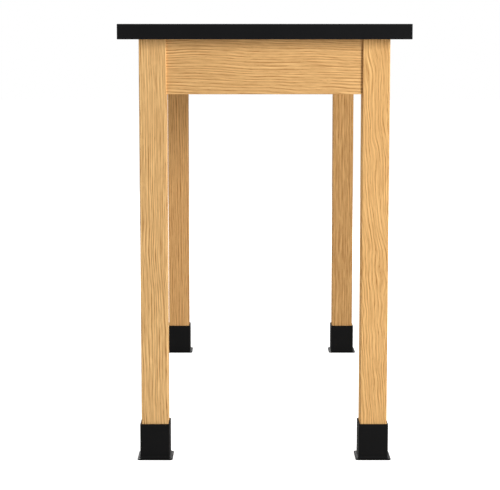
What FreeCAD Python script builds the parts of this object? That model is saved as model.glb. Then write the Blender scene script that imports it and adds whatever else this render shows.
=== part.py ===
# A science lab table: a laminated black top on oak legs and aprons, with boots over levelling feet.
# Sizes are in millimetres, and +Z is up. The origin is on the floor under the middle of the top.
# The table's length runs along Y, and the end at -Y is called its front.
import FreeCAD, Part
import math
import os
from FreeCAD import Placement, Rotation, Vector

# Whole table
TOP_WIDTH = 609.6
TOP_LENGTH = 1371.6
TOP_THICKNESS = 31.75
TOP_OVERHANG = 42.0
LEG_LENGTH = 882.65
LEG_SIDE = 57.15
APRON_HEIGHT = 114.3
APRON_THICKNESS = 19.05
APRON_RECESS = 4.75

# Lay-up of the top: laminate over a board core, a backer sheet below and a band round the edge
LAMINATE_THICKNESS = 1.2
BACKER_THICKNESS = 0.8
BAND_THICKNESS = 3.0
BAND_ROUND = 1.5

# Leg shaping: eased long edges, a chamfered foot and a flat across the inner corner at the top
LEG_EASE = 1.8
LEG_FOOT_CHAMFER = 1.5
CORNER_FLAT = 20.0

# Apron shaping
APRON_EASE = 1.5
KERF_PLAY = 0.6
KERF_EXTRA_DEPTH = 1.0

# Corner bracket, bent from steel strip
BRACKET_SHEET = 2.4
BRACKET_MARGIN = 19.05
BRACKET_GAP = 4.0
BRACKET_WING = 38.0
BRACKET_LIP = 6.5
BRACKET_BEND = 3.0
LIP_BEND = 0.5
BRACKET_SCREW_EDGE = 13.1

# Hanger bolts that draw each leg into its corner, with their washers and nuts
HANGER_DIAMETER = 7.9
HANGER_BITE = 38.0
HANGER_POINT = 7.0
HANGER_TAIL = 9.0
HANGER_CHAMFER = 0.8
HANGER_EDGE = 16.1
HANGER_HOLE_PLAY = 0.5
WASHER_DIAMETER = 19.0
WASHER_THICKNESS = 1.6
NUT_ACROSS = 12.7
NUT_HEIGHT = 6.8

# Pan-head wood screws, used for the brackets and for the clips under the top
SCREW_DIAMETER = 4.8
SCREW_LENGTH = 15.9
SCREW_POINT = 4.5
SCREW_HEAD = 9.4
SCREW_HEAD_HEIGHT = 3.0
SCREW_HEAD_RIM = 1.6
SCREW_HEAD_CROWN = 6.4
SCREW_HOLE_PLAY = 0.35
WOOD_FIT = 0.05

# Angle clips that hold the top down on the aprons
CLIP_SHEET = 2.0
CLIP_LEG = 25.4
CLIP_WIDTH = 22.0
CLIP_BEND = 1.5
CLIP_CORNER = 4.0
CLIP_SLOT = 6.0
CLIP_SIDE_SHARES = (-0.25, 0.25)
CLIP_END_SHARES = (0.0,)

# Boot pulled over the foot of each leg, open below, with a flange coved into its walls
BOOT_HEIGHT = 77.4
BOOT_WALL = 3.2
BOOT_FIT = 0.1
BOOT_CORNER = 2.6
BOOT_FLANGE = 6.0
BOOT_FLANGE_CORNER = 7.0
BOOT_FLANGE_THICKNESS = 3.0
BOOT_COVE = 3.6
BOOT_COVE_SHARE = 0.9
BOOT_RIM_ROUND = 0.7
BOOT_FLANGE_ROUND = 1.0

# Levelling foot in each leg: insert nut, threaded stud with a hexagon, and a foot that the stud swivels in
INSERT_BARREL = 12.0
INSERT_BARREL_LENGTH = 12.0
INSERT_FLANGE = 25.4
INSERT_FLANGE_THICKNESS = 1.5
STUD_DIAMETER = 9.5
STUD_LENGTH = 38.0
STUD_CHAMFER = 1.0
STUD_FIT = 0.08
STUD_HOLE_EXTRA = 6.0
STUD_STOP_GAP = 0.25
HEX_ACROSS = 14.3
HEX_HEIGHT = 6.2
PIN_DIAMETER = 7.6
PIN_LENGTH = 3.4
SWIVEL_PLAY = 0.05
FOOT_DIAMETER = 31.75
FOOT_HEIGHT = 5.9
FOOT_RIM = 2.4
FOOT_CROWN = 20.0
FOOT_CHAMFER = 0.6

# How far a cutting solid runs past what it cuts, and how close two places are that count as one
OVERRUN = 1.0
TOLERANCE = 1e-6

# Places that follow from the sizes above
ROOT2 = math.sqrt(2.0)
UP = Vector(0, 0, 1)
LEG_FOOT_Z = FOOT_HEIGHT + SWIVEL_PLAY + HEX_HEIGHT + STUD_STOP_GAP + INSERT_FLANGE_THICKNESS
UNDERSIDE_Z = LEG_FOOT_Z + LEG_LENGTH
TOP_Z = UNDERSIDE_Z + TOP_THICKNESS
APRON_Z = UNDERSIDE_Z - APRON_HEIGHT
JOINT_Z = UNDERSIDE_Z - APRON_HEIGHT / 2
FRAME_WIDTH = TOP_WIDTH - 2 * TOP_OVERHANG
FRAME_LENGTH = TOP_LENGTH - 2 * TOP_OVERHANG

# How far a clip's screws stand from the faces that it bends along
CLIP_SCREW_AT = (CLIP_SHEET + CLIP_LEG) / 2

# Places in a corner, measured inwards from the leg's outer faces or along the diagonal from its outer edge
APRON_BACK = APRON_RECESS + APRON_THICKNESS
FLAT_AT = LEG_SIDE * ROOT2 - CORNER_FLAT / 2
PLATE_AT = FLAT_AT + BRACKET_GAP
WING_AT = PLATE_AT * ROOT2 - APRON_BACK
LIP_AT = WING_AT + BRACKET_WING
WING_SCREW_AT = WING_AT + BRACKET_WING / 2
BRACKET_HEIGHT = APRON_HEIGHT - 2 * BRACKET_MARGIN
HANGER_SPREAD = BRACKET_HEIGHT - 2 * HANGER_EDGE
BRACKET_SCREW_SPREAD = BRACKET_HEIGHT - 2 * BRACKET_SCREW_EDGE

# Each corner: name, side along X, side along Y and turn about Z. A corner is alike along X and Y.
CORNERS = (
    ("front_left", -1, -1, 0),
    ("front_right", 1, -1, 90),
    ("rear_right", 1, 1, 180),
    ("rear_left", -1, 1, 270),
)

# Pieces that are grouped over the four corners
CORNER_GROUPS = ("hanger_bolts", "hanger_washers", "hanger_nuts", "bracket_screws", "insert_nuts")


def block(low, high):
    """A box between two opposite corners."""
    size = high - low
    return Part.makeBox(size.x, size.y, size.z, low)


def rod(diameter, start, end):
    """A round bar from one point to another."""
    return Part.makeCylinder(diameter / 2, (end - start).Length, start, end - start)


def lathe(points):
    """A solid turned about Z from an outline of (radius, height) points."""
    outline = [Vector(radius, 0, height) for radius, height in points]
    face = Part.Face(Part.makePolygon(outline + outline[:1]))
    return face.revolve(Vector(), UP, 360)


def moved(shape, place):
    """A copy of a shape, carried to a placement."""
    copy = shape.copy()
    copy.Placement = place.multiply(copy.Placement)
    return copy


def edges_along(shape, axis):
    """The straight edges of a shape that run along an axis."""
    straight = [edge for edge in shape.Edges if isinstance(edge.Curve, Part.Line)]
    return [edge for edge in straight if edge.Curve.Direction.cross(axis).Length < TOLERANCE]


def edges_at_height(shape, height, smallest, largest):
    """The level edges at a height that reach out from the Z axis between two distances along X or Y."""
    found = []
    for edge in shape.Edges:
        box = edge.BoundBox
        level = abs(box.ZMin - height) < TOLERANCE and abs(box.ZMax - height) < TOLERANCE
        reach = max(abs(box.XMin), abs(box.XMax), abs(box.YMin), abs(box.YMax))
        if level and smallest < reach < largest:
            found.append(edge)
    return found


def square_bar(side, corner, low, high):
    """An upright square bar about Z with rounded long edges."""
    bar = block(Vector(-side / 2, -side / 2, low), Vector(side / 2, side / 2, high))
    return bar.makeFillet(corner, edges_along(bar, UP))


def hexagon(across, height):
    """A hexagon bar standing on Z = 0, its corners chamfered at both ends."""
    corner = across / math.sqrt(3)
    points = [Vector(corner * math.cos(a), corner * math.sin(a), 0) for a in
              (math.radians(60 * side) for side in range(6))]
    bar = Part.Face(Part.makePolygon(points + points[:1])).extrude(UP * height)
    flat = across / 2
    drop = (corner - flat) * math.tan(math.radians(30))
    turned = [(0, 0), (flat, 0), (corner, drop), (corner, height - drop), (flat, height), (0, height)]
    return bar.common(lathe(turned))


def bent_wire(points, radii):
    """Edges along a run of points, each inner point rounded to its own radius."""
    edges = []
    start = points[0]
    for before, corner, after, radius in zip(points, points[1:], points[2:], radii):
        inward = (before - corner).normalize()
        outward = (after - corner).normalize()
        half = inward.getAngle(outward) / 2
        setback = radius / math.tan(half)
        middle = (inward + outward).normalize()
        first = corner + inward * setback
        last = corner + outward * setback
        top = corner + middle * (radius / math.sin(half) - radius)
        edges.append(Part.LineSegment(start, first).toShape())
        edges.append(Part.Arc(first, top, last).toShape())
        start = last
    edges.append(Part.LineSegment(start, points[-1]).toShape())
    return edges


def bent_strip(near, far, near_radii, far_radii, height):
    """A bent strip between its two faces' outlines, raised along Z."""
    edges = bent_wire(near, near_radii)
    edges.append(Part.LineSegment(near[-1], far[-1]).toShape())
    edges += bent_wire(far[::-1], far_radii[::-1])
    edges.append(Part.LineSegment(far[0], near[0]).toShape())
    return Part.Face(Part.Wire(Part.__sortEdges__(edges))).extrude(UP * height)


def pan_screw():
    """A pan-head wood screw along Z, its head standing on Z = 0 and its point below."""
    shank, head, crown = SCREW_DIAMETER / 2, SCREW_HEAD / 2, SCREW_HEAD_CROWN / 2
    return lathe([(0, -SCREW_LENGTH), (shank, SCREW_POINT - SCREW_LENGTH), (shank, 0), (head, 0),
                  (head, SCREW_HEAD_RIM), (crown, SCREW_HEAD_HEIGHT), (0, SCREW_HEAD_HEIGHT)])


def corner_place(corner):
    """A corner's own frame: its origin is on the floor under the leg's outer edge, with X and Y inwards."""
    _, side_x, side_y, turn = corner
    return Placement(Vector(side_x * FRAME_WIDTH / 2, side_y * FRAME_LENGTH / 2, 0), Rotation(UP, turn))


def leg_axis(corner):
    """Where the middle of a leg stands on the floor."""
    return corner_place(corner).multiply(Placement(Vector(LEG_SIDE / 2, LEG_SIDE / 2, 0), Rotation()))


def diagonal(distance, height):
    """A point in a corner, on the vertical plane through the leg's diagonal."""
    return Vector(distance / ROOT2, distance / ROOT2, height)


def spread(middle, distance):
    """Two heights, a distance apart, about a middle one."""
    return (middle - distance / 2, middle + distance / 2)


def lengthways(distance):
    """Lays a solid made along +Z on a corner's diagonal, at a distance, pointing inwards."""
    return Placement(diagonal(distance, 0), Rotation(UP, Vector(1, 1, 0)))


# Top
def make_top():
    """The core, its laminate and backer, and the four strips of edge band."""
    half_x, half_y = TOP_WIDTH / 2, TOP_LENGTH / 2
    core_x, core_y = half_x - BAND_THICKNESS, half_y - BAND_THICKNESS
    core_low, core_high = UNDERSIDE_Z + BACKER_THICKNESS, TOP_Z - LAMINATE_THICKNESS
    backer = block(Vector(-core_x, -core_y, UNDERSIDE_Z), Vector(core_x, core_y, core_low))
    core = block(Vector(-core_x, -core_y, core_low), Vector(core_x, core_y, core_high))
    laminate = block(Vector(-core_x, -core_y, core_high), Vector(core_x, core_y, TOP_Z))
    for place in clip_places():
        hole = moved(clip_top_hole(), place)
        backer = backer.cut(hole)
        core = core.cut(hole)
    slab = block(Vector(-half_x, -half_y, UNDERSIDE_Z), Vector(half_x, half_y, TOP_Z))
    slab = slab.makeFillet(BAND_ROUND, slab.Edges)
    inside = block(Vector(-core_x, -core_y, UNDERSIDE_Z - OVERRUN), Vector(core_x, core_y, TOP_Z + OVERRUN))
    ring = slab.cut(inside)
    nodes = {"top_core": core, "top_laminate": laminate, "top_backer_sheet": backer}
    for name, side in (("left", -1), ("right", 1)):
        near, far = sorted((side * core_x, side * (half_x + OVERRUN)))
        strip = block(Vector(near, -half_y - OVERRUN, UNDERSIDE_Z - OVERRUN),
                      Vector(far, half_y + OVERRUN, TOP_Z + OVERRUN))
        nodes["edge_band_" + name] = ring.common(strip)
    for name, side in (("front", -1), ("rear", 1)):
        near, far = sorted((side * core_y, side * (half_y + OVERRUN)))
        strip = block(Vector(-core_x, near, UNDERSIDE_Z - OVERRUN), Vector(core_x, far, TOP_Z + OVERRUN))
        nodes["edge_band_" + name] = ring.common(strip)
    return nodes


# Clips under the top
def clip_places():
    """Each clip's own frame: its origin is where an apron's back meets the top, with Y off the apron."""
    back_x = FRAME_WIDTH / 2 - APRON_BACK
    back_y = FRAME_LENGTH / 2 - APRON_BACK
    places = []
    for share in CLIP_SIDE_SHARES:
        places.append(Placement(Vector(-back_x, share * FRAME_LENGTH, UNDERSIDE_Z), Rotation(UP, -90)))
        places.append(Placement(Vector(back_x, share * FRAME_LENGTH, UNDERSIDE_Z), Rotation(UP, 90)))
    for share in CLIP_END_SHARES:
        places.append(Placement(Vector(share * FRAME_WIDTH, -back_y, UNDERSIDE_Z), Rotation()))
        places.append(Placement(Vector(share * FRAME_WIDTH, back_y, UNDERSIDE_Z), Rotation(UP, 180)))
    return places


def clip_top_hole():
    """The pilot hole over a clip, up into the top."""
    start = Vector(0, CLIP_SCREW_AT, -OVERRUN)
    end = Vector(0, CLIP_SCREW_AT, SCREW_LENGTH - CLIP_SHEET)
    return rod(SCREW_DIAMETER + 2 * WOOD_FIT, start, end)


def clip_apron_hole():
    """The pilot hole behind a clip, into the apron."""
    start = Vector(0, OVERRUN, -CLIP_SCREW_AT)
    end = Vector(0, CLIP_SHEET - SCREW_LENGTH, -CLIP_SCREW_AT)
    return rod(SCREW_DIAMETER + 2 * WOOD_FIT, start, end)


def make_clip():
    """One angle clip: a leg down the apron with a round hole, and a leg under the top with a slot."""
    end, inside = CLIP_LEG, CLIP_SHEET
    near = [Vector(0, -end, 0), Vector(0, 0, 0), Vector(end, 0, 0)]
    far = [Vector(inside, -end, 0), Vector(inside, -inside, 0), Vector(end, -inside, 0)]
    strip = bent_strip(near, far, [CLIP_BEND + CLIP_SHEET], [CLIP_BEND], CLIP_WIDTH)
    clip = moved(strip, Placement(Vector(-CLIP_WIDTH / 2, 0, 0), Rotation(Vector(1, 1, 1), 120)))
    tips = [e for e in edges_along(clip, Vector(0, 1, 0)) if e.BoundBox.ZMax < -CLIP_LEG / 2]
    tips += [e for e in edges_along(clip, UP) if e.BoundBox.YMin > CLIP_LEG / 2]
    clip = clip.makeFillet(CLIP_CORNER, tips)
    hole = SCREW_DIAMETER + 2 * SCREW_HOLE_PLAY
    at = CLIP_SCREW_AT
    round_hole = rod(hole, Vector(0, -OVERRUN, -at), Vector(0, CLIP_SHEET + OVERRUN, -at))
    low, high = -CLIP_SHEET - OVERRUN, OVERRUN
    ends = [rod(hole, Vector(x, at, low), Vector(x, at, high)) for x in spread(0, CLIP_SLOT)]
    middle = block(Vector(-CLIP_SLOT / 2, at - hole / 2, low), Vector(CLIP_SLOT / 2, at + hole / 2, high))
    return clip.cut(round_hole).cut(ends[0].fuse(ends[1]).fuse(middle).removeSplitter())


def make_clips():
    """All the clips and their screws."""
    clip, screw = make_clip(), pan_screw()
    at = CLIP_SCREW_AT
    seats = [
        Placement(Vector(0, at, -CLIP_SHEET), Rotation(UP, -UP)),
        Placement(Vector(0, CLIP_SHEET, -at), Rotation(UP, Vector(0, 1, 0))),
    ]
    clips, screws = [], []
    for place in clip_places():
        clips.append(moved(clip, place))
        screws += [moved(screw, place.multiply(seat)) for seat in seats]
    return {"top_clips": Part.makeCompound(clips), "clip_screws": Part.makeCompound(screws)}


# Legs
def make_leg():
    """One leg in its corner's frame, with its corner flat and the holes for its bolts and levelling stud."""
    bar = square_bar(LEG_SIDE, LEG_EASE, LEG_FOOT_Z, UNDERSIDE_Z)
    bar = bar.makeChamfer(LEG_FOOT_CHAMFER, edges_at_height(bar, LEG_FOOT_Z, 0, LEG_SIDE))
    leg = bar.translated(Vector(LEG_SIDE / 2, LEG_SIDE / 2, 0))
    beyond = LEG_SIDE + OVERRUN
    short = FLAT_AT * ROOT2 - beyond
    outline = [Vector(u, v, APRON_Z) for u, v in ((beyond, short), (beyond, beyond), (short, beyond))]
    wedge = Part.Face(Part.makePolygon(outline + outline[:1])).extrude(UP * (APRON_HEIGHT + OVERRUN))
    leg = leg.cut(wedge)
    for height in spread(JOINT_Z, HANGER_SPREAD):
        pilot = rod(HANGER_DIAMETER + 2 * WOOD_FIT, diagonal(FLAT_AT - HANGER_BITE, height),
                    diagonal(FLAT_AT + OVERRUN, height))
        leg = leg.cut(pilot)
    middle = Vector(LEG_SIDE / 2, LEG_SIDE / 2, LEG_FOOT_Z)
    depth = UP * (STUD_LENGTH - INSERT_FLANGE_THICKNESS + STUD_HOLE_EXTRA)
    return leg.cut(rod(INSERT_BARREL + 2 * WOOD_FIT, middle - UP * OVERRUN, middle + depth))


# Aprons
def make_apron(length):
    """One apron along X, its outer face on Y = 0, with a kerf and screw holes near each end."""
    board = block(Vector(-length / 2, 0, APRON_Z), Vector(length / 2, APRON_THICKNESS, UNDERSIDE_Z))
    lower = [e for e in edges_along(board, Vector(1, 0, 0)) if e.BoundBox.ZMax < JOINT_Z]
    board = board.makeFillet(APRON_EASE, lower)
    kerf_near = LIP_AT - LEG_SIDE - KERF_PLAY
    kerf_far = LIP_AT - LEG_SIDE + BRACKET_SHEET + KERF_PLAY
    floor = APRON_THICKNESS - BRACKET_LIP - KERF_EXTRA_DEPTH
    hole_at = length / 2 - (WING_SCREW_AT - LEG_SIDE)
    for end in (-1, 1):
        near, far = sorted((end * (length / 2 - kerf_near), end * (length / 2 - kerf_far)))
        kerf = block(Vector(near, floor, APRON_Z - OVERRUN),
                     Vector(far, APRON_THICKNESS + OVERRUN, UNDERSIDE_Z + OVERRUN))
        board = board.cut(kerf)
        for height in spread(JOINT_Z, BRACKET_SCREW_SPREAD):
            start = Vector(end * hole_at, APRON_THICKNESS + OVERRUN, height)
            bottom = Vector(end * hole_at, APRON_THICKNESS + BRACKET_SHEET - SCREW_LENGTH, height)
            board = board.cut(rod(SCREW_DIAMETER + 2 * WOOD_FIT, start, bottom))
    return board


def make_aprons():
    """The two end aprons and the two side aprons, drilled for the clips."""
    out_x = FRAME_WIDTH / 2 - APRON_RECESS
    out_y = FRAME_LENGTH / 2 - APRON_RECESS
    end_apron = make_apron(FRAME_WIDTH - 2 * LEG_SIDE)
    side_apron = make_apron(FRAME_LENGTH - 2 * LEG_SIDE)
    nodes = {
        "apron_front": moved(end_apron, Placement(Vector(0, -out_y, 0), Rotation())),
        "apron_rear": moved(end_apron, Placement(Vector(0, out_y, 0), Rotation(UP, 180))),
        "apron_left": moved(side_apron, Placement(Vector(-out_x, 0, 0), Rotation(UP, -90))),
        "apron_right": moved(side_apron, Placement(Vector(out_x, 0, 0), Rotation(UP, 90))),
    }
    for place in clip_places():
        hole = moved(clip_apron_hole(), place)
        for name, apron in nodes.items():
            if apron.BoundBox.intersect(hole.BoundBox):
                nodes[name] = apron.cut(hole)
    return nodes


# Corner brackets and their fasteners
def make_bracket():
    """One bracket in its corner's frame: a plate across it, wings on the aprons and lips in their kerfs."""
    low = JOINT_Z - BRACKET_HEIGHT / 2
    tip = APRON_BACK - BRACKET_LIP
    bend = math.tan(math.radians(22.5)) * BRACKET_SHEET
    back = APRON_BACK + BRACKET_SHEET
    lip_back = LIP_AT + BRACKET_SHEET
    near_wing = [(LIP_AT, tip), (LIP_AT, APRON_BACK), (WING_AT, APRON_BACK)]
    far_wing = [(lip_back, tip), (lip_back, back), (WING_AT + bend, back)]
    near = [Vector(u, v, low) for u, v in near_wing] + [Vector(v, u, low) for u, v in near_wing[::-1]]
    far = [Vector(u, v, low) for u, v in far_wing] + [Vector(v, u, low) for u, v in far_wing[::-1]]
    near_radii = [LIP_BEND, BRACKET_BEND + BRACKET_SHEET, BRACKET_BEND + BRACKET_SHEET, LIP_BEND]
    far_radii = [LIP_BEND + BRACKET_SHEET, BRACKET_BEND, BRACKET_BEND, LIP_BEND + BRACKET_SHEET]
    bracket = bent_strip(near, far, near_radii, far_radii, BRACKET_HEIGHT)
    for height in spread(JOINT_Z, HANGER_SPREAD):
        hole = rod(HANGER_DIAMETER + 2 * HANGER_HOLE_PLAY, diagonal(FLAT_AT, height),
                   diagonal(PLATE_AT + BRACKET_SHEET + OVERRUN, height))
        bracket = bracket.cut(hole)
    for height in spread(JOINT_Z, BRACKET_SCREW_SPREAD):
        for turn in (False, True):
            ends = [(WING_SCREW_AT, APRON_BACK - OVERRUN), (WING_SCREW_AT, back + OVERRUN)]
            start, end = [Vector(v, u, height) if turn else Vector(u, v, height) for u, v in ends]
            bracket = bracket.cut(rod(SCREW_DIAMETER + 2 * SCREW_HOLE_PLAY, start, end))
    return bracket


def bracket_screw_seats():
    """Where a bracket's four screws sit in its corner's frame."""
    seat = APRON_BACK + BRACKET_SHEET
    places = []
    for height in spread(JOINT_Z, BRACKET_SCREW_SPREAD):
        places.append(Placement(Vector(WING_SCREW_AT, seat, height), Rotation(UP, Vector(0, 1, 0))))
        places.append(Placement(Vector(seat, WING_SCREW_AT, height), Rotation(UP, Vector(1, 0, 0))))
    return places


def make_hanger_set():
    """A hanger bolt, washer and nut along Z, with Z = 0 on the leg's corner flat and the nut's end at +Z."""
    radius = HANGER_DIAMETER / 2
    washer_at = BRACKET_GAP + BRACKET_SHEET
    nut_at = washer_at + WASHER_THICKNESS
    end = nut_at + NUT_HEIGHT + HANGER_TAIL
    bolt = lathe([(0, -HANGER_BITE), (radius, HANGER_POINT - HANGER_BITE), (radius, end - HANGER_CHAMFER),
                  (radius - HANGER_CHAMFER, end), (0, end)])
    bore = HANGER_DIAMETER + 2 * WOOD_FIT
    washer = rod(WASHER_DIAMETER, UP * washer_at, UP * nut_at)
    washer = washer.cut(rod(bore, UP * (washer_at - OVERRUN), UP * (nut_at + OVERRUN)))
    nut = hexagon(NUT_ACROSS, NUT_HEIGHT).translated(UP * nut_at)
    nut = nut.cut(rod(bore, UP * (nut_at - OVERRUN), UP * (nut_at + NUT_HEIGHT + OVERRUN)))
    return bolt, washer, nut


# Boots and levelling feet
def make_boot():
    """One boot about the leg's axis: square walls, a flange coved into them, and a socket right through."""
    socket = LEG_SIDE + 2 * BOOT_FIT
    outer = socket + 2 * BOOT_WALL
    flange = outer + 2 * BOOT_FLANGE
    body = square_bar(outer, BOOT_CORNER, 0, BOOT_HEIGHT)
    body = body.fuse(square_bar(flange, BOOT_FLANGE_CORNER, 0, BOOT_FLANGE_THICKNESS)).removeSplitter()
    near = (outer - BOOT_FLANGE) / 2
    far = (outer + BOOT_FLANGE) / 2
    level = BOOT_FLANGE_THICKNESS
    cove = min(BOOT_COVE, BOOT_COVE_SHARE * (BOOT_FLANGE - BOOT_FLANGE_ROUND))
    body = body.makeFillet(cove, edges_at_height(body, level, near, far))
    body = body.makeFillet(BOOT_FLANGE_ROUND, edges_at_height(body, level, far, flange))
    body = body.makeFillet(BOOT_RIM_ROUND, edges_at_height(body, BOOT_HEIGHT, 0, flange))
    return body.cut(square_bar(socket, LEG_EASE + BOOT_FIT, -OVERRUN, BOOT_HEIGHT + OVERRUN))


def make_insert():
    """The flanged insert nut in a leg's foot, about the leg's axis."""
    low = LEG_FOOT_Z - INSERT_FLANGE_THICKNESS
    high = LEG_FOOT_Z + INSERT_BARREL_LENGTH
    bore = STUD_DIAMETER / 2 + STUD_FIT
    flange, barrel = INSERT_FLANGE / 2, INSERT_BARREL / 2
    return lathe([(bore, low), (flange, low), (flange, LEG_FOOT_Z), (barrel, LEG_FOOT_Z), (barrel, high),
                  (bore, high)])


def make_stud():
    """The levelling stud about the leg's axis: thread, hexagon, and the pin that swivels in the foot."""
    hex_low = FOOT_HEIGHT + SWIVEL_PLAY
    hex_high = hex_low + HEX_HEIGHT
    end = hex_high + STUD_LENGTH
    radius = STUD_DIAMETER / 2
    tip = radius - STUD_CHAMFER
    shank = lathe([(0, hex_low), (radius, hex_low), (radius, end - STUD_CHAMFER), (tip, end), (0, end)])
    pin = rod(PIN_DIAMETER, UP * (hex_low - PIN_LENGTH), UP * hex_high)
    return hexagon(HEX_ACROSS, HEX_HEIGHT).translated(UP * hex_low).fuse(shank).fuse(pin).removeSplitter()


def make_foot():
    """The round foot on the floor, its top sloping up to a flat crown with a socket for the stud's pin."""
    radius, crown, socket = FOOT_DIAMETER / 2, FOOT_CROWN / 2, PIN_DIAMETER / 2 + STUD_FIT
    bottom = FOOT_HEIGHT - PIN_LENGTH
    heel = radius - FOOT_CHAMFER
    return lathe([(0, 0), (heel, 0), (radius, FOOT_CHAMFER), (radius, FOOT_RIM), (crown, FOOT_HEIGHT),
                  (socket, FOOT_HEIGHT), (socket, bottom), (0, bottom)])


# Every piece that stands once in each corner, and the fasteners that are grouped
def make_corners():
    """Legs, brackets, boots and levelling feet for the four corners."""
    leg, bracket, boot = make_leg(), make_bracket(), make_boot()
    insert, stud, foot, screw = make_insert(), make_stud(), make_foot(), pan_screw()
    bolt, washer, nut = make_hanger_set()
    nodes = {}
    groups = {name: [] for name in CORNER_GROUPS}
    for corner in CORNERS:
        name, place, axis = corner[0], corner_place(corner), leg_axis(corner)
        nodes["leg_" + name] = moved(leg, place)
        nodes["corner_bracket_" + name] = moved(bracket, place)
        nodes["boot_" + name] = moved(boot, axis)
        nodes["leveller_stud_" + name] = moved(stud, axis)
        nodes["leveller_foot_" + name] = moved(foot, axis)
        groups["insert_nuts"].append(moved(insert, axis))
        groups["bracket_screws"] += [moved(screw, place.multiply(seat)) for seat in bracket_screw_seats()]
        for height in spread(JOINT_Z, HANGER_SPREAD):
            seat = place.multiply(Placement(UP * height, Rotation())).multiply(lengthways(FLAT_AT))
            groups["hanger_bolts"].append(moved(bolt, seat))
            groups["hanger_washers"].append(moved(washer, seat))
            groups["hanger_nuts"].append(moved(nut, seat))
    for name, solids in groups.items():
        nodes[name] = Part.makeCompound(solids)
    return nodes


def main():
    """Builds every node and writes each to its own file."""
    os.makedirs("parts", exist_ok=True)
    nodes = {**make_top(), **make_clips(), **make_aprons(), **make_corners()}
    for name, shape in sorted(nodes.items()):
        shape.exportStep("parts/" + name + ".step")
        print(name, len(shape.Solids), "solids", round(shape.Volume), "mm3", shape.isValid())


main()
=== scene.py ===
import math

import bmesh
import bpy
import numpy
from mathutils import Matrix, Vector


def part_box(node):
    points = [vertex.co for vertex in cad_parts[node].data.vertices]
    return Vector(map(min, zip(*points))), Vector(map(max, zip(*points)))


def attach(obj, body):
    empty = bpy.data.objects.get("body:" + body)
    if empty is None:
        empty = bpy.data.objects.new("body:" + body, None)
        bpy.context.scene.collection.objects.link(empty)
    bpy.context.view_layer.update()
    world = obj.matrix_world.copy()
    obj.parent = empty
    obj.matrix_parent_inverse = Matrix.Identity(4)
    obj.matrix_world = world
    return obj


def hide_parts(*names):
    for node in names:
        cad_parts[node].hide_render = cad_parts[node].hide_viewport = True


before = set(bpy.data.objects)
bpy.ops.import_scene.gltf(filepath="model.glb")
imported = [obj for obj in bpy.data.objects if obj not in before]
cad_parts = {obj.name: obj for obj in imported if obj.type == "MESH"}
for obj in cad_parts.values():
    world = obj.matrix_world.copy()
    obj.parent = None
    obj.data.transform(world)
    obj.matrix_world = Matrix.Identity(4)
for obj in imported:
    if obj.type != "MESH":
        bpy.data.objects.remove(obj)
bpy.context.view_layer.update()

# Millimetres in the frame's metres
MM = 0.001

# Camera, as it stood in front of the table's end: distance from the front legs, and its other places
CAMERA_DISTANCE = 3.511
CAMERA_SIDE = -0.0303
CAMERA_HEIGHT = 0.9014
CAMERA_PITCH = 0.1238
FOCAL_PIXELS = 1671.3
PHOTO_WIDTH_PIXELS = 500
SENSOR_MM = 36.0

# Studio: a big pale floor, soft light from all round, and lamps with their places, widths, heights and power
WHITE = (1.0, 1.0, 1.0, 1.0)
FLOOR_SIZE = 40.0
FLOOR_GLOW = 0.9
FLOOR_TINT = 0.85
WORLD_FILL = 0.16
LAMP_TARGET = Vector((0.0, -0.4, 0.6))
LAMPS = {
    "key_lamp": {"place": (2.75, -3.07, 1.52), "width": 0.8, "height": 1.5, "watts": 138.0},
    "fill_lamp": {"place": (-3.4, 0.2, 0.9), "width": 1.5, "height": 1.5, "watts": 40.0},
    "rear_lamp": {"place": (-0.6, 4.4, 3.0), "width": 2.4, "height": 2.4, "watts": 150.0},
}

# Oak boards: where the pith lies from each board's middle and how far up the log it was cut, the way of its
# grain, its tone, how far the grain wanders and ripples, how wide its rings are, and how strongly rings and
# streaks show
OAK_BOARDS = {
    "leg_front_left": {
        "pith": (0.150, 0.050, 3.1), "grain": (-0.004, 0.004, 1.0), "tone": "straw",
        "wander": 60.0 * MM, "ripple": 4.5 * MM, "ring": 5.6 * MM, "rings": 0.66, "streaks": 0.8},
    "leg_front_right": {
        "pith": (-0.150, 0.050, 37.1), "grain": (-0.070, 0.004, 1.0), "tone": "honey",
        "wander": 30.0 * MM, "ripple": 18.0 * MM, "ring": 6.0 * MM, "rings": 0.50, "streaks": 0.7},
    # The rear legs take the darker amber and umber tones, partly as painted shade under the top
    "leg_rear_left": {
        "pith": (-0.130, 0.070, 7.7), "grain": (-0.004, 0.004, 1.0), "tone": "amber_painted_shade",
        "wander": 14.0 * MM, "ripple": 4.5 * MM, "ring": 6.2 * MM, "rings": 0.60, "streaks": 0.7},
    "leg_rear_right": {
        "pith": (0.110, -0.060, 12.4), "grain": (-0.012, -0.010, 1.0), "tone": "umber_painted_shade",
        "wander": 18.0 * MM, "ripple": 4.5 * MM, "ring": 6.0 * MM, "rings": 0.35, "streaks": 0.8},
    "apron_front": {
        "pith": (-0.120, 0.060, 9.4), "grain": (1.0, 0.020, -0.050), "tone": "tan",
        "wander": 70.0 * MM, "ripple": 4.5 * MM, "ring": 5.6 * MM, "rings": 0.54, "streaks": 0.6},
    "apron_rear": {
        "pith": (0.110, -0.060, 21.9), "grain": (1.0, 0.015, -0.010), "tone": "honey",
        "wander": 24.0 * MM, "ripple": 4.5 * MM, "ring": 5.2 * MM, "rings": 0.70, "streaks": 0.8},
    "apron_left": {
        "pith": (0.110, 0.085, 26.3), "grain": (0.006, 1.0, -0.008), "tone": "honey",
        "wander": 24.0 * MM, "ripple": 4.5 * MM, "ring": 5.2 * MM, "rings": 0.70, "streaks": 0.8},
    "apron_right": {
        "pith": (-0.100, 0.080, 31.6), "grain": (0.007, 1.0, 0.008), "tone": "honey",
        "wander": 24.0 * MM, "ripple": 4.5 * MM, "ring": 5.2 * MM, "rings": 0.70, "streaks": 0.8},
}
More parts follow.
